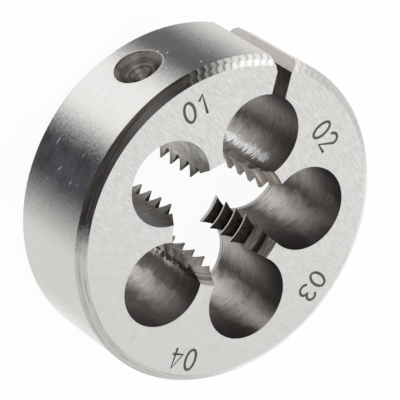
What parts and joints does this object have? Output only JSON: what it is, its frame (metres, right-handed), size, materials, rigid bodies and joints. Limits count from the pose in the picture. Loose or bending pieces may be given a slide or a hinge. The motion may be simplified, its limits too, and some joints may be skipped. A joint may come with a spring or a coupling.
{
  "type": "round split threading die",
  "caption": "Round split die that cuts a left-hand screw thread on a bar, with chip holes around a toothed bore, a slit in the rim and cone seats for the holder's screws.",
  "frame": {"origin": "centre of the thread axis on the unmarked resting face", "axes": "+Z along the thread axis out of the marked face, +Y toward the slit"},
  "size_m": [0.0334, 0.0333, 0.0111],
  "materials": {
    "ground_steel": "ground faces and rim, dark reamed holes"
  },
  "bodies": {
    "root": {"die_body": "ground_steel"}
  },
  "joints": []
}
